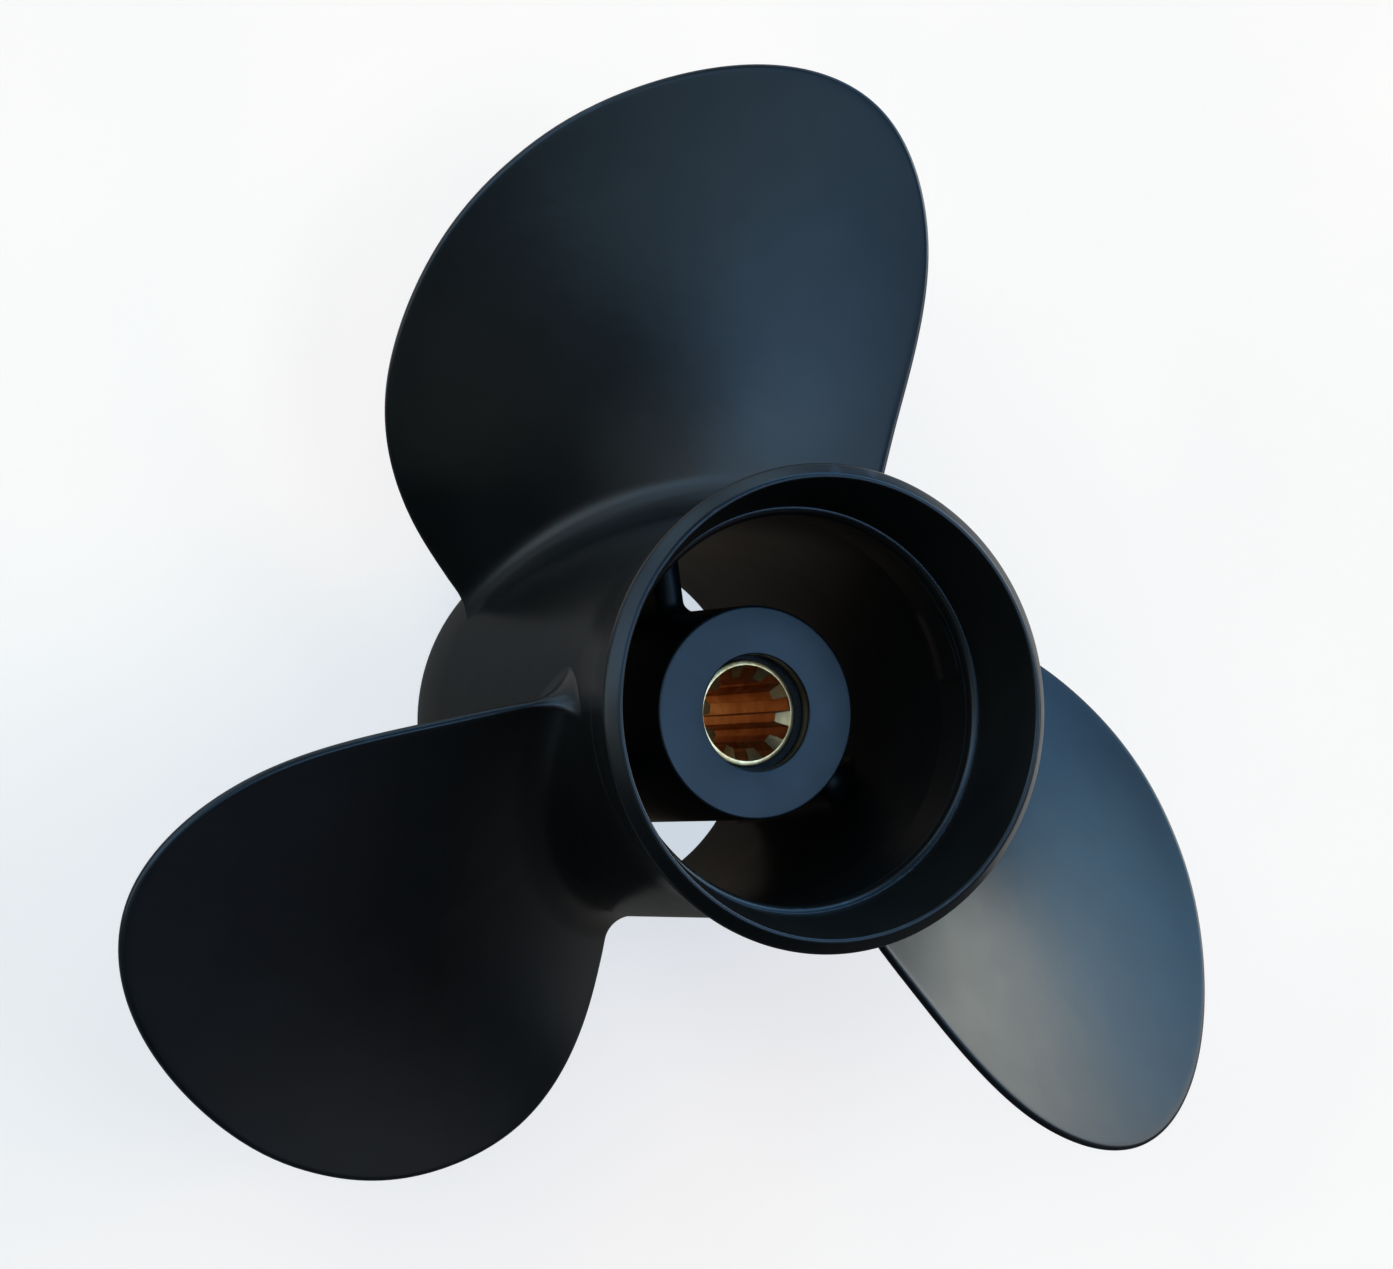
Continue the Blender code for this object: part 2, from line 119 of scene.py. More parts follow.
# Shallow cast pad inside the bore, below the ledge
PAD_ANGLE = 26.0                 # degrees, to its middle
PAD_HALF_WIDTH = 7.2 * MM
PAD_REAR_Z = 102.2 * MM
PAD_ROUND = 3.0 * MM
PAD_HEIGHT = 0.35 * MM
PAD_EDGE = 0.5 * MM
PAD_FADE_Z = 90.0 * MM
PAD_FADE_LENGTH = 6.0 * MM

# Inner hub, bush and sleeve
HUB_REAR_Z = 86.6 * MM
HUB_FRONT_Z = 8.0 * MM
HUB_REAR_R = 20.6 * MM
HUB_FRONT_R = 21.6 * MM
HUB_BORE_R = 13.6 * MM
HUB_LIP_R = 11.2 * MM
HUB_LIP_THICKNESS = 3.6 * MM
HUB_REAR_ROUND = 0.6 * MM
HUB_FRONT_ROUND = 0.8 * MM
HUB_BORE_ROUND = 0.5 * MM
HUB_LIP_ROUND = 0.3 * MM
HUB_MOUTH_ROUND = 0.35 * MM
HUB_STEPS = 256
BUSH_REAR_Z = 80.8 * MM
BUSH_FRONT_Z = 9.5 * MM
BUSH_ROUND = 0.9 * MM
BUSH_BORE_ROUND = 0.4 * MM
BUSH_STEPS = 192
SLEEVE_R = 10.3 * MM
SLEEVE_ROUND = [(0.3, 0.0), (0.1, 0.1), (0.0, 0.3)]   # in and down, in mm
SLEEVE_REAR_Z = 82.2 * MM
SLEEVE_FRONT_Z = 6.0 * MM
SPLINE_ROOT_R = 9.2 * MM
SPLINE_TIP_R = 7.0 * MM
SPLINE_TEETH = 10
SPLINE_ANGLE = 107.8             # degrees, to the middle of a tooth
TOOTH_TIP = 0.19                 # half widths, in shares of the pitch
TOOTH_FOOT = 0.28
TOOTH_STEPS = 48
LEAD_IN = 2.0 * MM               # depth of the chamfer on the teeth's ends
LEAD_IN_ROWS = 9
LEAD_IN_GAP = 0.1 * MM           # its mouth is wider than the teeth's roots
BELOW_LEAD_IN = 1.0 * MM         # one more row, which keeps the crease sharp

# Ribs
RIB_THICKNESS = 6.0 * MM
RIB_REAR_Z = 54.8 * MM
RIB_FRONT_Z = 12.0 * MM
RIB_ANGLE = 103.8                # degrees, to the middle of rib 1
RIB_FILLET = 4.0 * MM
RIB_HUB_FILLET = 2.2 * MM
RIB_DRAFT = 2.6 * MM             # the web is wider by this at its front, each side
RIB_FOOT_SPREAD = 1.5            # and by this much of the fillet at the hub
RIB_SINK = 0.05 * MM             # its ends lie this far inside hub and barrel
RIB_COLUMNS = 41
RIB_ROWS = 48

# Materials: the two colours of a mottled surface and its range of roughness
PAINT_COLOURS = ((0.0040, 0.0036, 0.0030), (0.0062, 0.0056, 0.0046))
PAINT_ROUGHNESS = (0.26, 0.34)
BORE_PAINT_COLOURS = ((0.003, 0.003, 0.003), (0.006, 0.006, 0.006))
BORE_PAINT_ROUGHNESS = (0.38, 0.50)
PAINT_SPECULAR = 0.25
EDGE_HIGHLIGHT_COLOUR = (0.030, 0.032, 0.034)      # painted highlight on the edges
EDGE_HIGHLIGHT_POINTINESS = (0.51, 0.60)           # where the painted highlight starts and is full
EDGE_HIGHLIGHT_STRENGTH = 0.8
BRASS_COLOURS = ((0.55, 0.27, 0.09), (0.83, 0.52, 0.24))
BRASS_ROUGHNESS = (0.22, 0.45)
RUBBER_COLOURS = ((0.01, 0.01, 0.01), (0.03, 0.03, 0.03))
RUBBER_ROUGHNESS = (0.60, 0.85)
MOTTLE_SPAN = (0.35, 0.65)               # of the noise, from one colour to the other
FLOOR_COLOURS = ((0.50, 0.25, 0.12), (0.54, 0.27, 0.13))
FLOOR_ROUGHNESS = (0.80, 0.95)
FLOOR_GLOW = (0.60, 0.67, 0.75)

# Soft lights: azimuth and elevation in degrees, strength in red, green, blue
LIGHT_SPREAD = 26.0
LIGHTS = [
    (30, 10, (1.12, 1.18, 1.12)), (15, 30, (0.72, 0.80, 0.88)),
    (45, 30, (0.40, 0.80, 1.20)), (75, 30, (0.22, 0.55, 1.05)),
    (40, 50, (0.00, 0.12, 0.35)), (60, 10, (0.00, 0.05, 0.15)),
    (0, 70, (0.32, 0.60, 1.02)), (120, 70, (0.10, 0.20, 0.35)),
    (180, 70, (0.16, 0.26, 0.34)), (160, 50, (0.24, 0.44, 0.72)),
    (135, 30, (0.20, 0.33, 0.50)), (165, 30, (0.31, 0.51, 0.74)),
    (195, 30, (0.11, 0.13, 0.14)), (90, 10, (0.22, 0.33, 0.43)),
    (120, 10, (0.24, 0.37, 0.48)), (150, 10, (0.20, 0.28, 0.36)),
    (315, 30, (0.03, 0.03, 0.04)), (345, 30, (0.07, 0.07, 0.08)),
    (235, 50, (0.06, 0.06, 0.05)), (180, 10, (0.40, 0.48, 0.50)),
]
BACKDROP = (0.80, 0.81, 0.82)

# Floor, and the cards on it that only reflections see: level, inner and outer
# radius, sector in degrees, and glow. They keep the floor's glare off the paint
# and light the splined bore from below. The near and passage mats glow dimmer:
# painted shade of the floor under the part.
FLOOR_HALF = 3.0
CARD_REACH = 2.9
FAR_R = 400.0 * MM
NEAR_R = 100.0 * MM
WHOLE_TURN = (0.0, 352.5)        # the outline closes itself
CARD_CORNERS = 49
CARDS = [
    ("dark_card", 0.1 * MM, NEAR_R, CARD_REACH, (250.0, 340.0), (0.06, 0.06, 0.06)),
    ("dim_card", 0.1 * MM, NEAR_R, FAR_R, (160.0, 250.0), (0.20, 0.20, 0.20)),
    ("far_card", 0.1 * MM, FAR_R, CARD_REACH, (-20.0, 250.0), (0.18, 0.24, 0.32)),
    # painted shade: the floor under the part and through its passages, dark in
    # reflections
    ("near_shade_mat", 0.2 * MM, 0.0, NEAR_R, WHOLE_TURN, (0.10, 0.095, 0.085)),
    ("passage_shade_mat", 0.3 * MM, 0.0, BORE_R, WHOLE_TURN, (0.07, 0.06, 0.05)),
    ("bore_glow", 0.4 * MM, 0.0, SLEEVE_R, WHOLE_TURN, (0.45, 0.31, 0.17)),
]

# Camera of the photograph
CAMERA_PLACE = (-0.2574, -0.0428, 0.6423)
CAMERA_TURN = (3.036, -24.026, 5.578)   # degrees
CAMERA_SENSOR = 36.0                    # its width, and the lens, in mm
CAMERA_LENS = 82.76


def node_tree(name):
    """New material with its node tree and its shader."""
    mat = bpy.data.materials.new(name)
    mat.use_nodes = True
    return mat, mat.node_tree, mat.node_tree.nodes["Principled BSDF"]


def noise(tree, scale, detail=3.0, stretch=(1.0, 1.0, 1.0)):
    """Noise in the part's own coordinates, in features per metre."""
    place = tree.nodes.new("ShaderNodeTexCoord")
    mapping = tree.nodes.new("ShaderNodeMapping")
    mapping.inputs["Scale"].default_value = stretch
    texture = tree.nodes.new("ShaderNodeTexNoise")
    texture.inputs["Scale"].default_value = scale
    texture.inputs["Detail"].default_value = detail
    tree.links.new(place.outputs["Object"], mapping.inputs["Vector"])
    tree.links.new(mapping.outputs["Vector"], texture.inputs["Vector"])
    return texture.outputs["Fac"]


def ramp(tree, factor, colours):
    """Colour ramp between two colours, over the middle of a noise's range."""
    node = tree.nodes.new("ShaderNodeValToRGB")
    elements = node.color_ramp.elements
    for element, position, colour in zip(elements, MOTTLE_SPAN, colours):
        element.position = position
        element.color = (*colour, 1.0)
    tree.links.new(factor, node.inputs["Fac"])
    return node.outputs["Color"]


def spread(tree, factor, low, high):
    """Maps a 0 to 1 factor onto a range."""
    node = tree.nodes.new("ShaderNodeMapRange")
    node.inputs["To Min"].default_value = low
    node.inputs["To Max"].default_value = high
    tree.links.new(factor, node.inputs["Value"])
    return node.outputs["Result"]


def edge_highlight(tree, colour):
    """Lightens the colour in patches along outward edges: a painted edge highlight."""
    edges = tree.nodes.new("ShaderNodeMapRange")
    edges.inputs["From Min"].default_value = EDGE_HIGHLIGHT_POINTINESS[0]
    edges.inputs["From Max"].default_value = EDGE_HIGHLIGHT_POINTINESS[1]
    geometry = tree.nodes.new("ShaderNodeNewGeometry")
    tree.links.new(geometry.outputs["Pointiness"], edges.inputs["Value"])
    patches = tree.nodes.new("ShaderNodeMath")
    patches.operation = "MULTIPLY"
    tree.links.new(edges.outputs["Result"], patches.inputs[0])
    highlight_patches = spread(tree, noise(tree, 220.0), 0.0, EDGE_HIGHLIGHT_STRENGTH)
    tree.links.new(highlight_patches, patches.inputs[1])
    mix = tree.nodes.new("ShaderNodeMix")
    mix.data_type = "RGBA"
    first, second = [i for i in mix.inputs if i.type == "RGBA"]
    second.default_value = (*EDGE_HIGHLIGHT_COLOUR, 1.0)
    tree.links.new(patches.outputs["Value"], mix.inputs["Factor"])
    tree.links.new(colour, first)
    return [o for o in mix.outputs if o.type == "RGBA"][0]


def bump(tree, layers):
    """Chain of bump nodes from (height, strength, distance) layers."""
    normal = None
    for height, strength, distance in layers:
        node = tree.nodes.new("ShaderNodeBump")
        node.inputs["Strength"].default_value = strength
        node.inputs["Distance"].default_value = distance
        tree.links.new(height, node.inputs["Height"])
        if normal:
            tree.links.new(normal, node.inputs["Normal"])
        normal = node.outputs["Normal"]
    return normal


def paint_material(name, colours, roughness):
    """Satin paint on a casting: mottled, with orange peel and cast waves."""
    mat, tree, shader = node_tree(name)
    shader.inputs["Specular IOR Level"].default_value = PAINT_SPECULAR
    colour = ramp(tree, noise(tree, 38.0), colours)
    # the outward edges get a painted highlight
    tree.links.new(edge_highlight(tree, colour), shader.inputs["Base Color"])
    tree.links.new(spread(tree, noise(tree, 120.0), *roughness),
                   shader.inputs["Roughness"])
    waves = noise(tree, 90.0, 2.0)
    peel = noise(tree, 1300.0, 2.0)
    layers = [(waves, 0.12, 0.6 * MM), (peel, 0.10, 0.1 * MM)]
    tree.links.new(bump(tree, layers), shader.inputs["Normal"])
    return mat


def brass_material():
    """Broached brass with fine lines along the shaft."""
    mat, tree, shader = node_tree("sleeve_brass")
    shader.inputs["Metallic"].default_value = 1.0
    lines = noise(tree, 900.0, 3.0, (1.0, 1.0, 0.03))
    stain = noise(tree, 160.0, 4.0)
    tree.links.new(ramp(tree, stain, BRASS_COLOURS), shader.inputs["Base Color"])
    tree.links.new(spread(tree, lines, *BRASS_ROUGHNESS), shader.inputs["Roughness"])
    tree.links.new(bump(tree, [(lines, 0.3, 0.1 * MM)]), shader.inputs["Normal"])
    return mat


def rubber_material():
    """Dull black rubber with a fine grain."""
    mat, tree, shader = node_tree("bush_rubber")
    grain = noise(tree, 1500.0)
    tree.links.new(ramp(tree, grain, RUBBER_COLOURS), shader.inputs["Base Color"])
    tree.links.new(spread(tree, grain, *RUBBER_ROUGHNESS), shader.inputs["Roughness"])
    tree.links.new(bump(tree, [(grain, 0.3, 0.1 * MM)]), shader.inputs["Normal"])
    return mat


def mesh_object(name, verts, faces, mat):
    """Object with a new mesh, linked to the scene."""
    mesh = bpy.data.meshes.new(name)
    mesh.from_pydata(verts, [], faces)
    mesh.materials.append(mat)
    obj = bpy.data.objects.new(name, mesh)
    bpy.context.scene.collection.objects.link(obj)
    return obj


def piece(name, verts, faces, mat, node, sharp=35.0):
    """Smooth piece that stands for one CAD node, with creases over an angle."""
    obj = mesh_object(name, verts.tolist(), faces, mat)
    obj.data.shade_smooth()
    obj.data.set_sharp_from_angle(angle=math.radians(sharp))
    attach(obj, "root")
    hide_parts(node)
    return obj


def rounded(corners, steps=7):
    """Closed profile from (radius, height, rounding) corners."""
    points = []
    count = len(corners)
    for i in range(count):
        here = np.array(corners[i][:2])
        size = corners[i][2]
        if size == 0.0:
            points.append(tuple(here))
            continue
        before = np.array(corners[i - 1][:2]) - here
        after = np.array(corners[(i + 1) % count][:2]) - here
        reach = min(size, ROUND_LIMIT * np.linalg.norm(before),
                    ROUND_LIMIT * np.linalg.norm(after))
        one = here + reach * before / np.linalg.norm(before)
        two = here + reach * after / np.linalg.norm(after)
        for s in np.linspace(0.0, 1.0, steps):
            points.append(tuple((1 - s) ** 2 * one + 2 * s * (1 - s) * here
                                + s * s * two))
    return points


def ring_faces(rings, count, closed=True):
    """Faces between rings of count points each; closed joins the last to the first."""
    faces = []
    for k in range(rings if closed else rings - 1):
        a, b = k * count, (k + 1) % rings * count
        for i in range(count):
            j = (i + 1) % count
            faces.append((a + i, a + j, b + j, b + i))
    return faces


def turned(profile, steps):
    """Vertices and faces of a closed profile turned round the shaft."""
    profile = np.array(profile)
    count = len(profile)
    angle = 2.0 * math.pi * np.arange(steps) / steps
    radius = profile[None, :, 0]
    verts = np.stack([radius * np.cos(angle)[:, None],
                      radius * np.sin(angle)[:, None],
                      np.broadcast_to(profile[None, :, 1], (steps, count))], -1)
    return verts.reshape(-1, 3), ring_faces(steps, count)


def smooth_step(x):
    """Rises from 0 to 1 without a kink."""
    x = np.clip(x, 0.0, 1.0)
    return x * x * (3.0 - 2.0 * x)


def barrel_radius(z):
    """Outside radius of the barrel and of the flared ring above it."""
    straight = np.interp(z, [NOSE_LENGTH, NECK_Z],
                         [BARREL_FRONT_R, BARREL_NECK_R])
    rise = np.clip((np.asarray(z) - NECK_Z) / (FLARE_Z - NECK_Z), 0.0, 1.0)
    down = np.clip(1.0 - np.asarray(z) / NOSE_LENGTH, 0.0, 1.0)
    nose = NOSE_DROP * (1.0 - np.sqrt(1.0 - down ** 2))
    return straight + (FLARE_R - BARREL_NECK_R) * rise ** FLARE_CURVE - nose


def outer_wall(heights):
    """Profile points of the outside at these heights."""
    return [(float(barrel_radius(z)), float(z)) for z in heights]


def bore_radius(z):
    """Radius of the barrel's bore, which narrows a little below the ledge."""
    return float(np.interp(z, [BORE_TAPER_Z, LEDGE_Z - LEDGE_ROUND],
                           [BORE_R, BORE_REAR_R]))


def pad_height(verts):
    """How far the pad stands in from the bore at each of the barrel's points."""
    radius = np.hypot(verts[:, 0], verts[:, 1])
    angle = np.arctan2(verts[:, 1], verts[:, 0]) - math.radians(PAD_ANGLE)
    across = np.abs(angle) * BORE_R - (PAD_HALF_WIDTH - PAD_ROUND)
    along = verts[:, 2] - (PAD_REAR_Z - PAD_ROUND)
    outside = np.hypot(np.maximum(across, 0.0), np.maximum(along, 0.0))
    height = PAD_HEIGHT * smooth_step((PAD_ROUND - outside) / PAD_EDGE)
    height *= smooth_step((verts[:, 2] - PAD_FADE_Z) / PAD_FADE_LENGTH)
    height[radius > 0.5 * (BORE_R + BARREL_NECK_R)] = 0.0
    return height


def build_barrel(mat):
    """Outer wall with its rounded nose, front face, and bore with its pad."""
    turn = np.radians(np.linspace(*NOSE_TURN, 24))
    outer = outer_wall(np.linspace(SPLIT_Z, NOSE_LENGTH, 60))
    outer += outer_wall(NOSE_LENGTH * (1.0 - np.sin(turn)))
    front = rounded([(*outer[-1], 0.0), (FRONT_FACE_R, 0.0, FRONT_FACE_ROUND),
                     (BORE_R, 0.0, BORE_FRONT_ROUND),
                     (BORE_R, BORE_FRONT_Z[0], 0.0)])[1:]
    inner = [(BORE_R, float(z))
             for z in np.linspace(BORE_FRONT_Z[1], BORE_FINE_Z[0], 20)]
    inner += [(bore_radius(z), float(z))
              for z in np.linspace(BORE_FINE_Z[1], SPLIT_Z, 76)]
    verts, faces = turned(outer + front + inner, BARREL_STEPS)
    radius = np.hypot(verts[:, 0], verts[:, 1])
    verts[:, :2] *= ((radius - pad_height(verts)) / radius)[:, None]
    return piece("barrel_casting", verts, faces, mat, "barrel")


def build_flare(mat):
    """Bevelled lip, outer wall, bore, round ledge and bell-shaped inner wall."""
    bevel = FLARE_R - RIDGE_R
    outer = outer_wall(np.linspace(FLARE_Z - LIP_ROUND, SPLIT_Z, 40))
    ledge = [(bore_radius(z), float(z))
             for z in np.linspace(SPLIT_Z, LEDGE_Z - LEDGE_ROUND, 6)]
    for a in np.radians(np.linspace(0, 90, 17)[1:]):
        ledge.append((BORE_REAR_R + LEDGE_ROUND * (1.0 - math.cos(a)),
                      LEDGE_Z - LEDGE_ROUND * (1.0 - math.sin(a))))
    foot_r, foot_z = ledge[-1]
    bell = []
    for s in np.linspace(*BELL_SPAN, 28):
        bell.append((foot_r + (MOUTH_R - foot_r) * s ** BELL_CURVE,
                     foot_z + (REAR_Z - foot_z) * s))
    lip = rounded([(*bell[-1], 0.0), (MOUTH_R, REAR_Z, MOUTH_ROUND),
                   (RIDGE_R, REAR_Z, RIDGE_ROUND),
                   (FLARE_R + LIP_OUT, REAR_Z - bevel, LIP_ROUND),
                   (*outer[0], 0.0)], 10)
    verts, faces = turned(lip[1:-1] + outer + ledge[1:] + bell, FLARE_STEPS)
    return piece("flare_ring_casting", verts, faces, mat, "flare_ring")


def hub_radius(z):
    """Outside radius of the tapered inner hub."""
    return float(np.interp(z, [HUB_FRONT_Z, HUB_REAR_Z],
                           [HUB_FRONT_R, HUB_REAR_R]))


def build_hub(mat):
    """Tapered tube with a flat rear face and an inward lip."""
    lip_z = HUB_REAR_Z - HUB_LIP_THICKNESS
    corners = [(HUB_REAR_R, HUB_REAR_Z, HUB_REAR_ROUND),
               (HUB_FRONT_R, HUB_FRONT_Z, HUB_FRONT_ROUND),
               (HUB_BORE_R, HUB_FRONT_Z, HUB_BORE_ROUND),
               (HUB_BORE_R, lip_z, HUB_LIP_ROUND),
               (HUB_LIP_R, lip_z, HUB_LIP_ROUND),
               (HUB_LIP_R, HUB_REAR_Z, HUB_MOUTH_ROUND)]
    verts, faces = turned(rounded(corners), HUB_STEPS)
    return piece("inner_hub_casting", verts, faces, mat, "inner_hub")


def build_bush(mat):
    """Rubber tube that fills the room between the hub and the sleeve."""
    corners = [(HUB_BORE_R, BUSH_REAR_Z, BUSH_ROUND),
               (HUB_BORE_R, BUSH_FRONT_Z, BUSH_ROUND),
               (SLEEVE_R, BUSH_FRONT_Z, BUSH_BORE_ROUND),
               (SLEEVE_R, BUSH_REAR_Z, BUSH_BORE_ROUND)]
    verts, faces = turned(rounded(corners), BUSH_STEPS)
    return piece("rubber_bush_ring", verts, faces, mat, "rubber_bush")


def spline_radius(angle):
    """Bore radius of the sleeve round the shaft, with rounded corners."""
    pitch = 2.0 * math.pi / SPLINE_TEETH
    part = (angle - math.radians(SPLINE_ANGLE)) / pitch
    part = np.abs(part - np.round(part))
    height = 1.0 - smooth_step((part - TOOTH_TIP) / (TOOTH_FOOT - TOOTH_TIP))
    return SPLINE_ROOT_R + (SPLINE_TIP_R - SPLINE_ROOT_R) * height


def build_sleeve(mat):
    """Tube with straight teeth in its bore, chamfered at both ends."""
    steps = SPLINE_TEETH * TOOTH_STEPS
    angle = 2.0 * math.pi * np.arange(steps) / steps
    teeth = spline_radius(angle)
    mouth = SPLINE_ROOT_R + LEAD_IN_GAP

    def bore(depth):
        """Bore at a depth below either end: the chamfer cone cuts the teeth."""
        cone = mouth - (mouth - SPLINE_TIP_R) * depth / LEAD_IN
        return np.maximum(teeth, cone)

    depths = np.r_[np.linspace(0.0, 1.0, LEAD_IN_ROWS) * LEAD_IN,
                   LEAD_IN + BELOW_LEAD_IN]
    full = np.full(steps, SLEEVE_R)
    levels = [(bore(d), SLEEVE_FRONT_Z + d) for d in depths]
    levels += [(bore(d), SLEEVE_REAR_Z - d) for d in depths[::-1]]
    levels += [(full - a * MM, SLEEVE_REAR_Z - b * MM) for a, b in SLEEVE_ROUND]
    levels += [(full - a * MM, SLEEVE_FRONT_Z + b * MM)
               for a, b in SLEEVE_ROUND[::-1]]
    verts = np.concatenate([np.c_[r * np.cos(angle), r * np.sin(angle),
                                  np.full(steps, z)] for r, z in levels])
    faces = [face[::-1] for face in ring_faces(len(levels), steps)]
    return piece("splined_sleeve_tube", verts, faces, mat, "splined_sleeve",
                 30.0)


def natural_spline(points, count):
    """Smooth curve through the points, even in the point number."""
    p = np.asarray(points, float)
    n = len(p)
    matrix = np.eye(n)
    right = np.zeros_like(p)
    for i in range(1, n - 1):
        matrix[i, i - 1:i + 2] = (1.0, 4.0, 1.0)
        right[i] = 6.0 * (p[i - 1] - 2.0 * p[i] + p[i + 1])
    bend = np.linalg.solve(matrix, right)
    t = np.linspace(0.0, n - 1.0, count)
    i = np.minimum(t.astype(int), n - 2)
    f = (t - i)[:, None]
    g = 1.0 - f
    return ((bend[i] * g ** 3 + bend[i + 1] * f ** 3) / 6.0
            + (p[i] - bend[i] / 6.0) * g + (p[i + 1] - bend[i + 1] / 6.0) * f)


def unit(vectors):
    """The same directions with length 1."""
    return vectors / np.linalg.norm(vectors, axis=-1, keepdims=True)


def edge_line():
    """Centre line of the blade's round edge: angle, radius, run length."""
    angle = np.radians([a for a, r in BLADE_OUTLINE])
    radius = np.array([r for a, r in BLADE_OUTLINE]) * MM
    plan = np.c_[radius * np.cos(angle), radius * np.sin(angle)]
    curve = natural_spline(plan, CURVE_POINTS)
    along = unit(np.gradient(curve, axis=0))
    inward = np.c_[-along[:, 1], along[:, 0]]
    curve = curve + inward * 0.5 * EDGE_THICKNESS
    run = np.r_[0.0, np.cumsum(np.linalg.norm(np.diff(curve, axis=0), axis=1))]
    return np.arctan2(curve[:, 1], curve[:, 0]), np.hypot(*curve.T), run


def chord_shares():
    """Shares of the chord from 0 to 1, closer together towards both ends."""
    wave = np.cos(np.linspace(*CHORD_WAVE, CHORD_STEPS + 1) * math.pi)
    return (wave[0] - wave) / (wave[0] - wave[-1])


def fillet_heights():
    """Heights of the foot's rows over the barrel, close together at first."""
    rise = np.linspace(0.0, 1.0, FILLET_ROWS) ** 2
    return FILLET * rise


def blade_plan():
    """Grid of (angle, radius): rows from barrel to tip, trailing edge first."""
    angle, radius, run = edge_line()
    tip = int(radius.argmax())
    first = int(np.searchsorted(run, run[tip] - TIP_SHARE * run[-1]))
    last = int(np.searchsorted(run, run[tip] + TIP_SHARE * run[-1]))
    share = chord_shares()
    ends = np.array([[angle[first], radius[first]],
                     [angle[last], radius[last]]])
    along = run[first] + share * (run[last] - run[first])
    over_tip = np.c_[np.interp(along, run, angle), np.interp(along, run, radius)]
    bulge = over_tip - (ends[0] + np.outer(share, ends[1] - ends[0]))
    heights = fillet_heights()
    spans = [0.0] * len(heights)
    spans += [(j + 1) / SPAN_STEPS for j in range(SPAN_STEPS)]
    rows = []
    for j, span in enumerate(spans):
        foot = ROOT_R + heights[min(j, len(heights) - 1)]
        r = foot + (ends[:, 1] - foot) * span
        a = [np.interp(r[0], radius[:tip + 1], angle[:tip + 1]),
             np.interp(r[1], radius[tip:][::-1], angle[tip:][::-1])]
        straight = np.array([a[0], r[0]]) + np.outer(
            share, [a[1] - a[0], r[1] - r[0]])
        rows.append(straight + bulge * span ** TIP_BULGE_FADE)
    return np.array(rows)


def blade_middle(plan):
    """Middle surface of the blade with its aft normals and half thickness."""
    lead = PITCH / (2.0 * math.pi)
    angle, radius = plan[..., 0], plan[..., 1]
    outward = np.stack([np.cos(angle), np.sin(angle), 0 * angle], -1)
    around = np.stack([-np.sin(angle), np.cos(angle), 0 * angle], -1)
    height = (BLADE_Z + RAKE * (radius - ROOT_R)
              - lead * (angle - 0.5 * math.pi))
    up = np.array([0.0, 0.0, 1.0])
    middle = outward * radius[..., None] + height[..., None] * up
    normal = unit(up - RAKE * outward + (lead / radius)[..., None] * around)
    share = chord_shares()
    span = np.clip((radius.mean(axis=1) - ROOT_R) / (TIP_R - ROOT_R), 0, 1)
    span = span[:, None]
    bulge = 4.0 * share * (1.0 - share) * (1.0 - (span / span[-1]) ** TIP_FADE)
    thick = (ROOT_THICKNESS
             + (TIP_THICKNESS - ROOT_THICKNESS) * span ** THICKNESS_FADE)
    half = 0.5 * (EDGE_THICKNESS
                  + (thick - EDGE_THICKNESS) * bulge ** SECTION_FULLNESS)
    chord = np.linalg.norm(middle[:, -1] - middle[:, 0], axis=-1)[:, None]
    drop = BACK_SHARE * (half - 0.5 * EDGE_THICKNESS) + CAMBER * chord * bulge
    return middle - normal * drop[..., None], normal, half


def fillet_reach(rows):
    """Extra half thickness of the foot's rows: a quarter round, smaller at
    the leading edge."""
    share = chord_shares()
    size = FILLET + (FILLET_FRONT - FILLET) * share ** 3
    reach = np.zeros((rows, len(share)))
    for j, height in enumerate(fillet_heights()):
        left = size - np.minimum(height, size)
        reach[j] = size - np.sqrt(np.maximum(size ** 2 - left ** 2, 0.0))
    return reach


def seat(points, height, share):
    """Move points out or in to a height above the barrel, wholly or in part."""
    radius = np.hypot(points[..., 0], points[..., 1])
    wanted = barrel_radius(points[..., 2]) - FILLET_SINK + height
    scale = 1.0 + share * (wanted / radius - 1.0)
    return points * np.stack([scale, scale, np.ones_like(scale)], -1)


def blade_border(rows, columns):
    """Grid places along the blade's free edge, from foot to foot."""
    return ([(j, 0) for j in range(rows)]
            + [(rows - 1, i) for i in range(1, columns - 1)]
            + [(j, columns - 1) for j in reversed(range(rows))])


def blade_edge(border, middle, normal, half, reach):
    """Round edge: a half turn from the aft to the fore face at each place."""
    line = np.array([middle[c] for c in border])
    line_normal = np.array([normal[c] for c in border])
    side = unit(np.cross(unit(np.gradient(line, axis=0)), line_normal))
    turn = math.pi * np.arange(1, EDGE_STEPS + 1) / (EDGE_STEPS + 1)
    size = np.array([half[c] for c in border])[:, None, None]
    bulge = size - (1.0 - FOOT_BULGE) * np.array(
        [reach[c] for c in border])[:, None, None]
    return (line[:, None]
            + size * np.cos(turn)[None, :, None] * line_normal[:, None]
            + bulge * np.sin(turn)[None, :, None] * side[:, None])


def blade_faces(rows, columns, border):
    """Faces of the aft grid, the fore grid and the rings of the round edge."""
    start_fore = rows * columns
    start_edge = 2 * start_fore
    faces = []
    for j in range(rows - 1):
        for i in range(columns - 1):
            a = j * columns + i
            faces.append((a, a + columns, a + columns + 1, a + 1))
            b = start_fore + a
            faces.append((b, b + 1, b + columns + 1, b + columns))
    rings = []
    for n, (j, i) in enumerate(border):
        first = start_edge + n * EDGE_STEPS
        a = j * columns + i
        rings.append([a, *range(first, first + EDGE_STEPS), start_fore + a])
    for one, two in zip(rings, rings[1:]):
        for k in range(EDGE_STEPS + 1):
            faces.append((one[k], one[k + 1], two[k + 1], two[k]))
    return faces


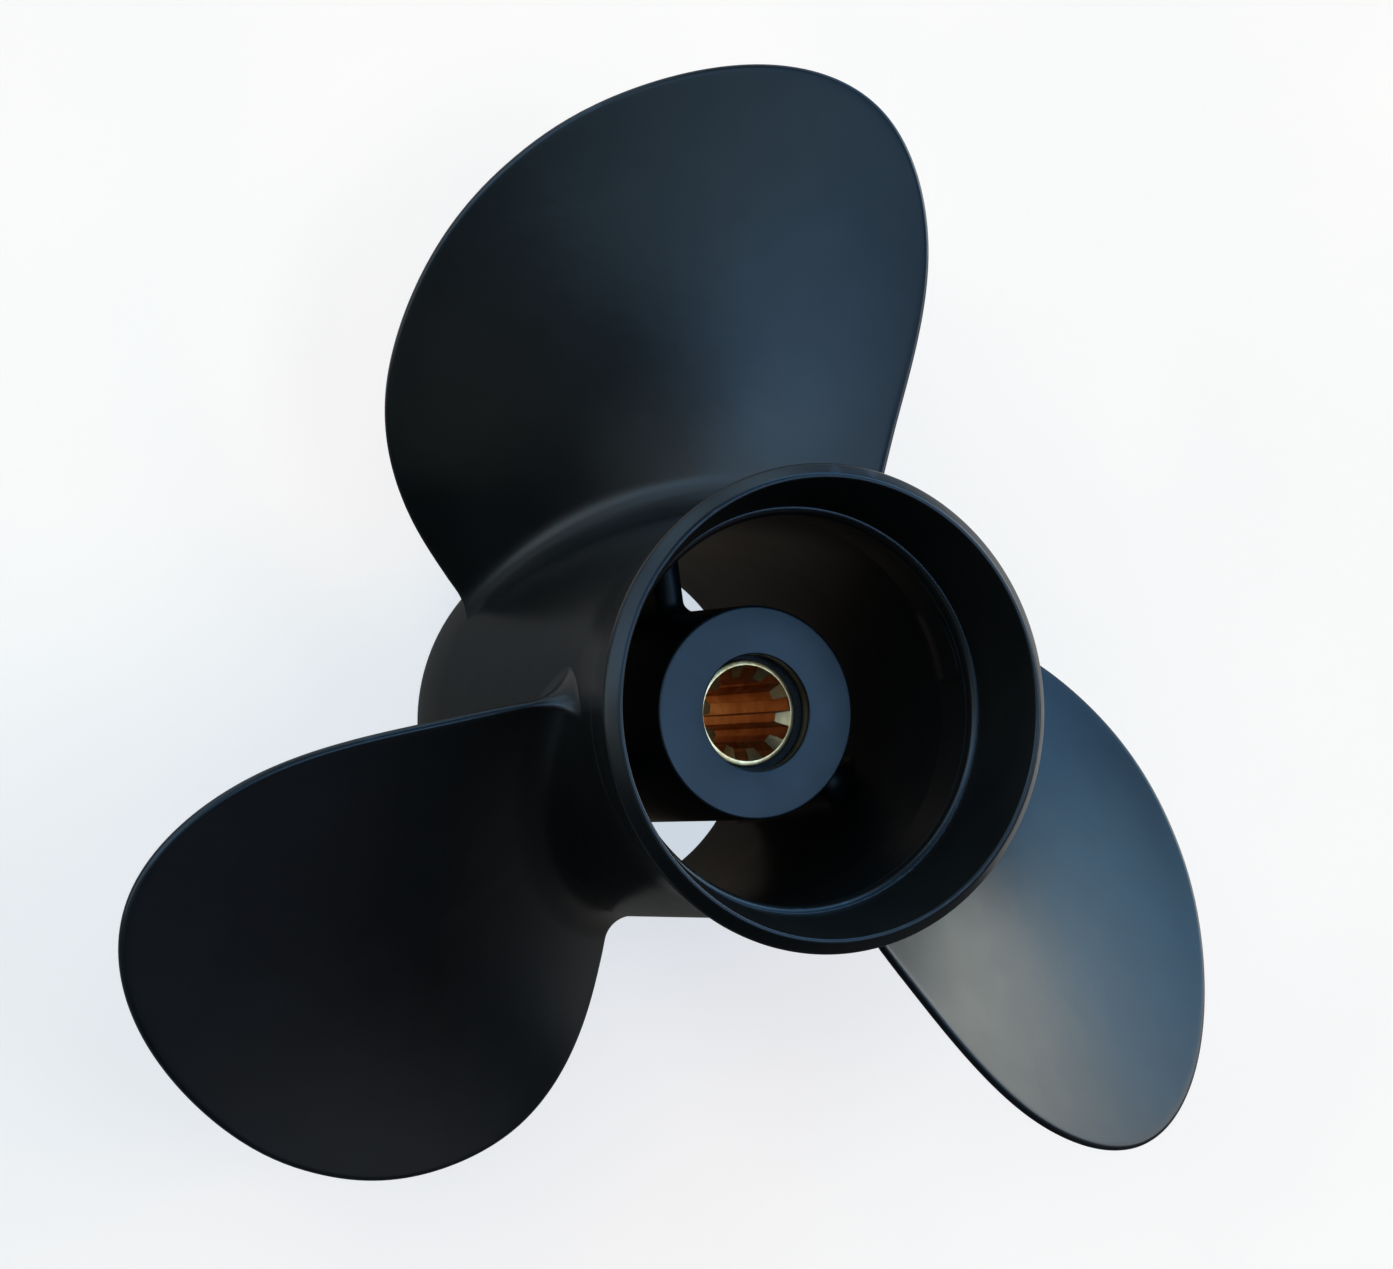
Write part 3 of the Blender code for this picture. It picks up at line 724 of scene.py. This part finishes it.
def blade_mesh():
    """Aft and fore faces, round edge and foot of blade 1."""
    plan = blade_plan()
    middle, normal, half = blade_middle(plan)
    rows, columns = half.shape
    reach = fillet_reach(rows)
    half = half + reach
    aft = middle + normal * half[..., None]
    fore = middle - normal * half[..., None]
    border = blade_border(rows, columns)
    edge = blade_edge(border, middle, normal, half, reach)
    # lay the root rows on the barrel and let the rows above follow
    heights = fillet_heights()
    last = len(heights) - 1
    centre = plan[:, columns // 2, 1]
    for j in range(rows):
        height = heights[j] if j <= last else centre[j] - ROOT_R
        share = max(0.0, 1.0 - max(0, j - last) / FOLLOW_ROWS) ** 2
        aft[j] = seat(aft[j], height, share)
        fore[j] = seat(fore[j], height, share)
        for i, c in enumerate(border):
            if c[0] == j and share > 0.0:
                edge[i] = seat(edge[i], height, share)
    verts = np.vstack([part.reshape(-1, 3) for part in (aft, fore, edge)])
    return verts, blade_faces(rows, columns, border)


def turned_copy(verts, angle):
    """The same points turned round the shaft."""
    c, s = math.cos(angle), math.sin(angle)
    return verts @ np.array([[c, s, 0.0], [-s, c, 0.0], [0.0, 0.0, 1.0]])


def build_blades(mat):
    """Three equal blades round the barrel."""
    verts, faces = blade_mesh()
    for k in range(BLADE_COUNT):
        turn = 2 * math.pi * k / BLADE_COUNT
        piece("blade_casting_%d" % (k + 1), turned_copy(verts, turn), faces,
              mat, "blade_%d" % (k + 1), 60.0)


def rib_mesh():
    """Web with a rounded aft edge and a fillet at each end."""
    length = BORE_R - HUB_FRONT_R
    half = 0.5 * RIB_THICKNESS
    verts = []
    for row in range(RIB_ROWS + 1):
        share = 0.5 - 0.5 * math.cos(math.pi * row / RIB_ROWS)
        fillet = RIB_FILLET if share > 0.5 else RIB_HUB_FILLET
        depth = max(0.0, fillet - min(share, 1.0 - share) * length)
        spread_out = fillet - math.sqrt(fillet ** 2 - depth ** 2)
        top = []
        for i in range(RIB_COLUMNS):
            a = math.pi * i / (RIB_COLUMNS - 1)
            top.append((math.cos(a) * (half + spread_out),
                        RIB_REAR_Z - half + half * math.sin(a) + spread_out))
        extra = RIB_DRAFT + (RIB_FOOT_SPREAD * spread_out if share < 0.5 else 0.0)
        wide = 1.0 + extra / (half + spread_out)
        for y, z in top + [(y * wide, RIB_FRONT_Z) for y, z in reversed(top)]:
            inside = math.sqrt((hub_radius(z) - RIB_SINK) ** 2 - y ** 2)
            outside = math.sqrt((BORE_R + RIB_SINK) ** 2 - y ** 2)
            verts.append((inside + (outside - inside) * share, y, z))
    return np.array(verts), ring_faces(RIB_ROWS + 1, 2 * RIB_COLUMNS, closed=False)


def build_ribs(mat):
    """Three equal webs between the inner hub and the barrel."""
    verts, faces = rib_mesh()
    for k in range(BLADE_COUNT):
        turn = 2 * math.pi * k / BLADE_COUNT + math.radians(RIB_ANGLE)
        piece("rib_casting_%d" % (k + 1), turned_copy(verts, turn), faces,
              mat, "rib_%d" % (k + 1), 60.0)


def add_stage(name, corners, mat):
    """Flat piece of the surroundings with one face."""
    obj = mesh_object(name, corners, [tuple(range(len(corners)))], mat)
    return obj


def add_card(name, level, inner, outer, sector, colour):
    """Sector of the floor that only reflections see, glowing in its colour."""
    mat, tree, shader = node_tree(name)
    shader.inputs["Base Color"].default_value = (0.0, 0.0, 0.0, 1.0)
    shader.inputs["Emission Color"].default_value = (*colour, 1.0)
    shader.inputs["Emission Strength"].default_value = 1.0
    turn = np.radians(np.linspace(*sector, CARD_CORNERS))
    corners = [(outer * math.cos(a), outer * math.sin(a), level) for a in turn]
    if inner:
        corners += [(inner * math.cos(a), inner * math.sin(a), level)
                    for a in turn[::-1]]
    card = add_stage(name, corners, mat)
    card.visible_camera = False
    card.visible_diffuse = False
    card.visible_shadow = False


def build_floor():
    """Pale floor, lit from within as on a light table, with its cards."""
    mat, tree, shader = node_tree("pale_floor")
    cloud = noise(tree, 9.0)
    tree.links.new(ramp(tree, cloud, FLOOR_COLOURS), shader.inputs["Base Color"])
    tree.links.new(spread(tree, cloud, *FLOOR_ROUGHNESS), shader.inputs["Roughness"])
    shader.inputs["Specular IOR Level"].default_value = 0.0
    shader.inputs["Emission Color"].default_value = (*FLOOR_GLOW, 1.0)
    shader.inputs["Emission Strength"].default_value = 1.0
    half = FLOOR_HALF
    floor = add_stage("floor", [(-half, -half, 0), (half, -half, 0),
                                (half, half, 0), (-half, half, 0)], mat)
    floor.visible_diffuse = False
    for card in CARDS:
        add_card(*card)


def build_lights():
    """Far soft lights, each seen from the part as a disc."""
    for k, (azimuth, elevation, colour) in enumerate(LIGHTS):
        a, e = math.radians(azimuth), math.radians(elevation)
        data = bpy.data.lights.new("soft_light_%d" % (k + 1), "SUN")
        data.angle = math.radians(LIGHT_SPREAD)
        data.energy = max(colour)
        data.color = [c / max(colour) for c in colour]
        light = bpy.data.objects.new(data.name, data)
        direction = Vector((math.cos(e) * math.cos(a),
                            math.cos(e) * math.sin(a), math.sin(e)))
        light.rotation_mode = "QUATERNION"
        light.rotation_quaternion = direction.to_track_quat("Z", "Y")
        bpy.context.scene.collection.objects.link(light)
    world = bpy.data.worlds.new("studio")
    bpy.context.scene.world = world
    world.use_nodes = True
    back = world.node_tree.nodes["Background"]
    back.inputs["Color"].default_value = (*BACKDROP, 1.0)
    back.inputs["Strength"].default_value = 1.0
    world.cycles_visibility.glossy = False
    world.cycles_visibility.diffuse = False


def build_camera():
    """Camera of the photograph."""
    data = bpy.data.cameras.new("camera")
    data.sensor_width = CAMERA_SENSOR
    data.lens = CAMERA_LENS
    data.clip_start = 0.01
    camera = bpy.data.objects.new("camera", data)
    camera.location = CAMERA_PLACE
    camera.rotation_euler = [math.radians(a) for a in CAMERA_TURN]
    bpy.context.scene.collection.objects.link(camera)
    bpy.context.scene.camera = camera


def main():
    paint = paint_material("satin_paint", PAINT_COLOURS, PAINT_ROUGHNESS)
    bore_paint = paint_material("bore_paint", BORE_PAINT_COLOURS,
                                BORE_PAINT_ROUGHNESS)
    build_barrel(paint)
    build_flare(paint)
    build_hub(paint)
    build_bush(rubber_material())
    build_sleeve(brass_material())
    build_blades(paint)
    build_ribs(bore_paint)
    build_floor()
    build_lights()
    build_camera()
    bpy.context.scene.view_settings.view_transform = "Standard"


main()
